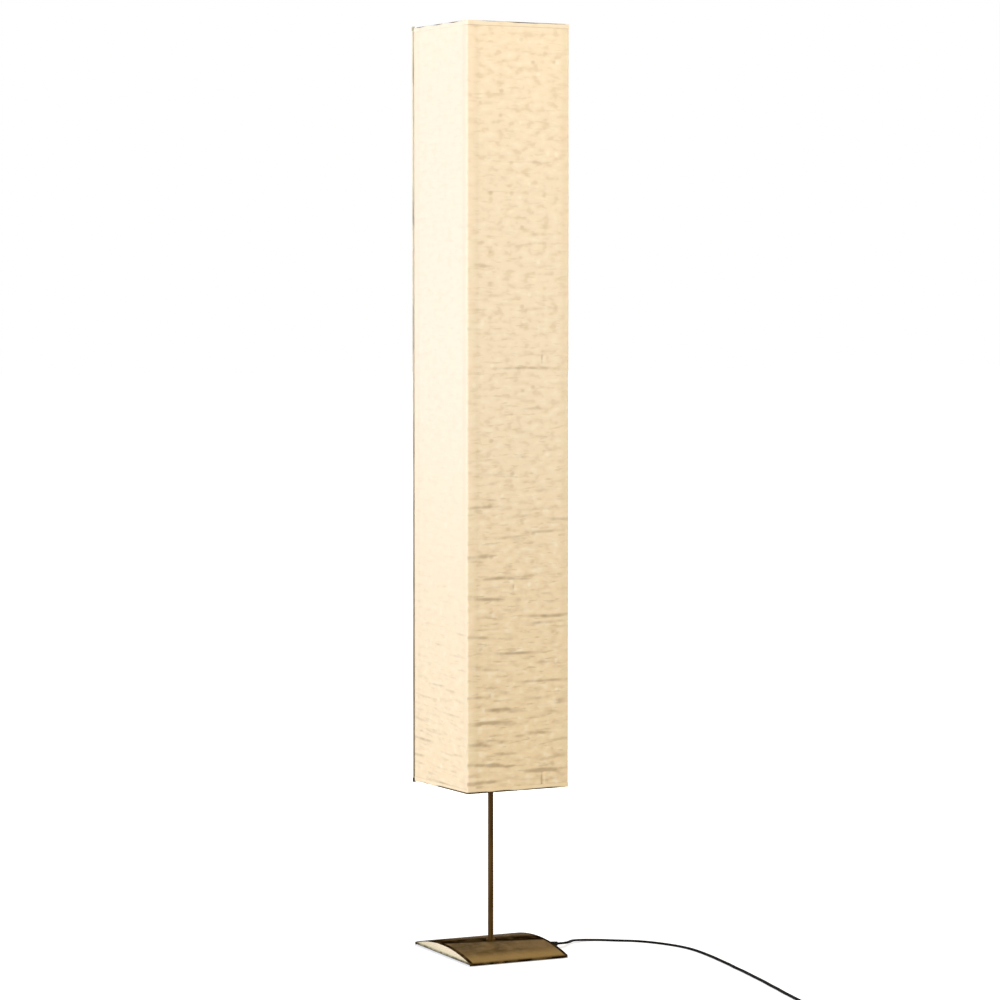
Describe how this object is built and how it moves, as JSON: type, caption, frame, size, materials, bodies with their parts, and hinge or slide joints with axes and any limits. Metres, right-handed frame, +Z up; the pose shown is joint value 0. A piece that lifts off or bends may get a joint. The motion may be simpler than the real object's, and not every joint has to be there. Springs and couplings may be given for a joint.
{
  "type": "paper lantern floor lamp",
  "caption": "Floor lamp with a tall square shade of crinkled cream paper on a wire frame, a thin bronze pole, an arched wood base and a flat black lead with a foot switch.",
  "frame": {"origin": "on the floor under the pole's axis, at the centre of the base", "axes": "+Z up along the pole, +X across the base towards the end the lead leaves from, -Y towards the viewer's side, where the arched base has one of its low edges"},
  "size_m": [0.4018, 0.7512, 1.3635],
  "materials": {
    "pale_wood": "oiled pale wood, end grain on the base's ends",
    "bronze_lacquer": "thin sheet with brown bronze lacquer, satin, slightly clouded",
    "dark_steel": "black painted steel plate",
    "felt": "dark felt",
    "zinc_steel": "zinc plated steel",
    "bronze_metal": "turned brass, aged",
    "antique_bronze": "antique bronze lacquer, satin",
    "seam_bronze": "dark bronze lacquer, lighter towards the top",
    "cord_black": "black flexible plastic sheath",
    "tip_clear": "soft milky plastic caps",
    "cap_black": "soft black caps",
    "holder_ivory": "ivory plastic, half gloss",
    "holder_ceramic": "plain white ceramic",
    "contact_brass": "bare brass",
    "bulb_nickel": "nickel plated shell",
    "bulb_opal": "opal white diffuser, unlit",
    "cream_paper": "cream crinkled paper, slightly see-through, matt",
    "tie_grey": "soft black band",
    "switch_black": "black plastic, fine matt grain",
    "button_black": "black plastic, half gloss",
    "block_grey": "grey plastic",
    "pin_nickel": "nickel plated pins"
  },
  "bodies": {
    "stand": {"base_core": "pale_wood", "base_cover": "bronze_lacquer", "base_plate": "dark_steel", "base_pads": "felt", "base_screws": "zinc_steel", "pole_socket": "bronze_metal", "pole_collar": "antique_bronze", "pole_lower": "antique_bronze", "pole_middle": "antique_bronze", "pole_upper": "antique_bronze", "pole_sleeves": "bronze_metal", "pole_tip": "bronze_metal", "inner_lead": "cord_black", "guide_hub": "antique_bronze", "guide_wires": "antique_bronze", "guide_tips": "tip_clear", "grub_screws": "zinc_steel", "holder_arm_lower": "antique_bronze", "holder_arm_upper": "antique_bronze", "holder_cup_lower": "holder_ivory", "holder_cup_upper": "holder_ivory", "holder_sleeve_lower": "holder_ivory", "holder_sleeve_upper": "holder_ivory", "holder_insert_lower": "holder_ceramic", "holder_insert_upper": "holder_ceramic", "holder_liner_lower": "contact_brass", "holder_liner_upper": "contact_brass", "holder_tongue_lower": "contact_brass", "holder_tongue_upper": "contact_brass", "cord_bush": "switch_black", "cord_lead": "cord_black", "cord_link": "cord_black", "cord_coil": "cord_black", "cord_tail": "cord_black", "cord_ties": "tie_grey", "switch_base": "switch_black", "switch_cover": "switch_black", "switch_block": "block_grey", "switch_reliefs": "switch_black", "plug_body": "switch_black", "plug_pins": "pin_nickel"},
    "shade": {"shade_paper": "cream_paper", "shade_hems": "cream_paper", "shade_ring_lower": "antique_bronze", "shade_ring_upper": "antique_bronze", "shade_corner_wires": "antique_bronze", "shade_seam_wire": "seam_bronze", "shade_seam_caps": "cap_black", "shade_hub": "antique_bronze", "shade_wires": "antique_bronze"},
    "bulb_lower": {"bulb_cap_lower": "bulb_nickel", "bulb_globe_lower": "bulb_opal"},
    "bulb_upper": {"bulb_cap_upper": "bulb_nickel", "bulb_globe_upper": "bulb_opal"},
    "button": {"switch_button": "button_black"}
  },
  "joints": [
    {"name": "shade_lift", "type": "slide", "parent": "stand", "child": "shade", "axis": [0, 0, 1], "range_m": [0, 1.12]},
    {"name": "bulb_lower_unscrew", "type": "slide", "parent": "stand", "child": "bulb_lower", "axis": [0, 0, 1], "range_m": [0, 0.03]},
    {"name": "bulb_upper_unscrew", "type": "slide", "parent": "stand", "child": "bulb_upper", "axis": [0, 0, 1], "range_m": [0, 0.03]},
    {"name": "switch_press", "type": "slide", "parent": "stand", "child": "button", "axis": [0, 0, -1], "range_m": [0, 0.003], "stiffness_N_per_m": 800, "springref_m": -0.002}
  ]
}
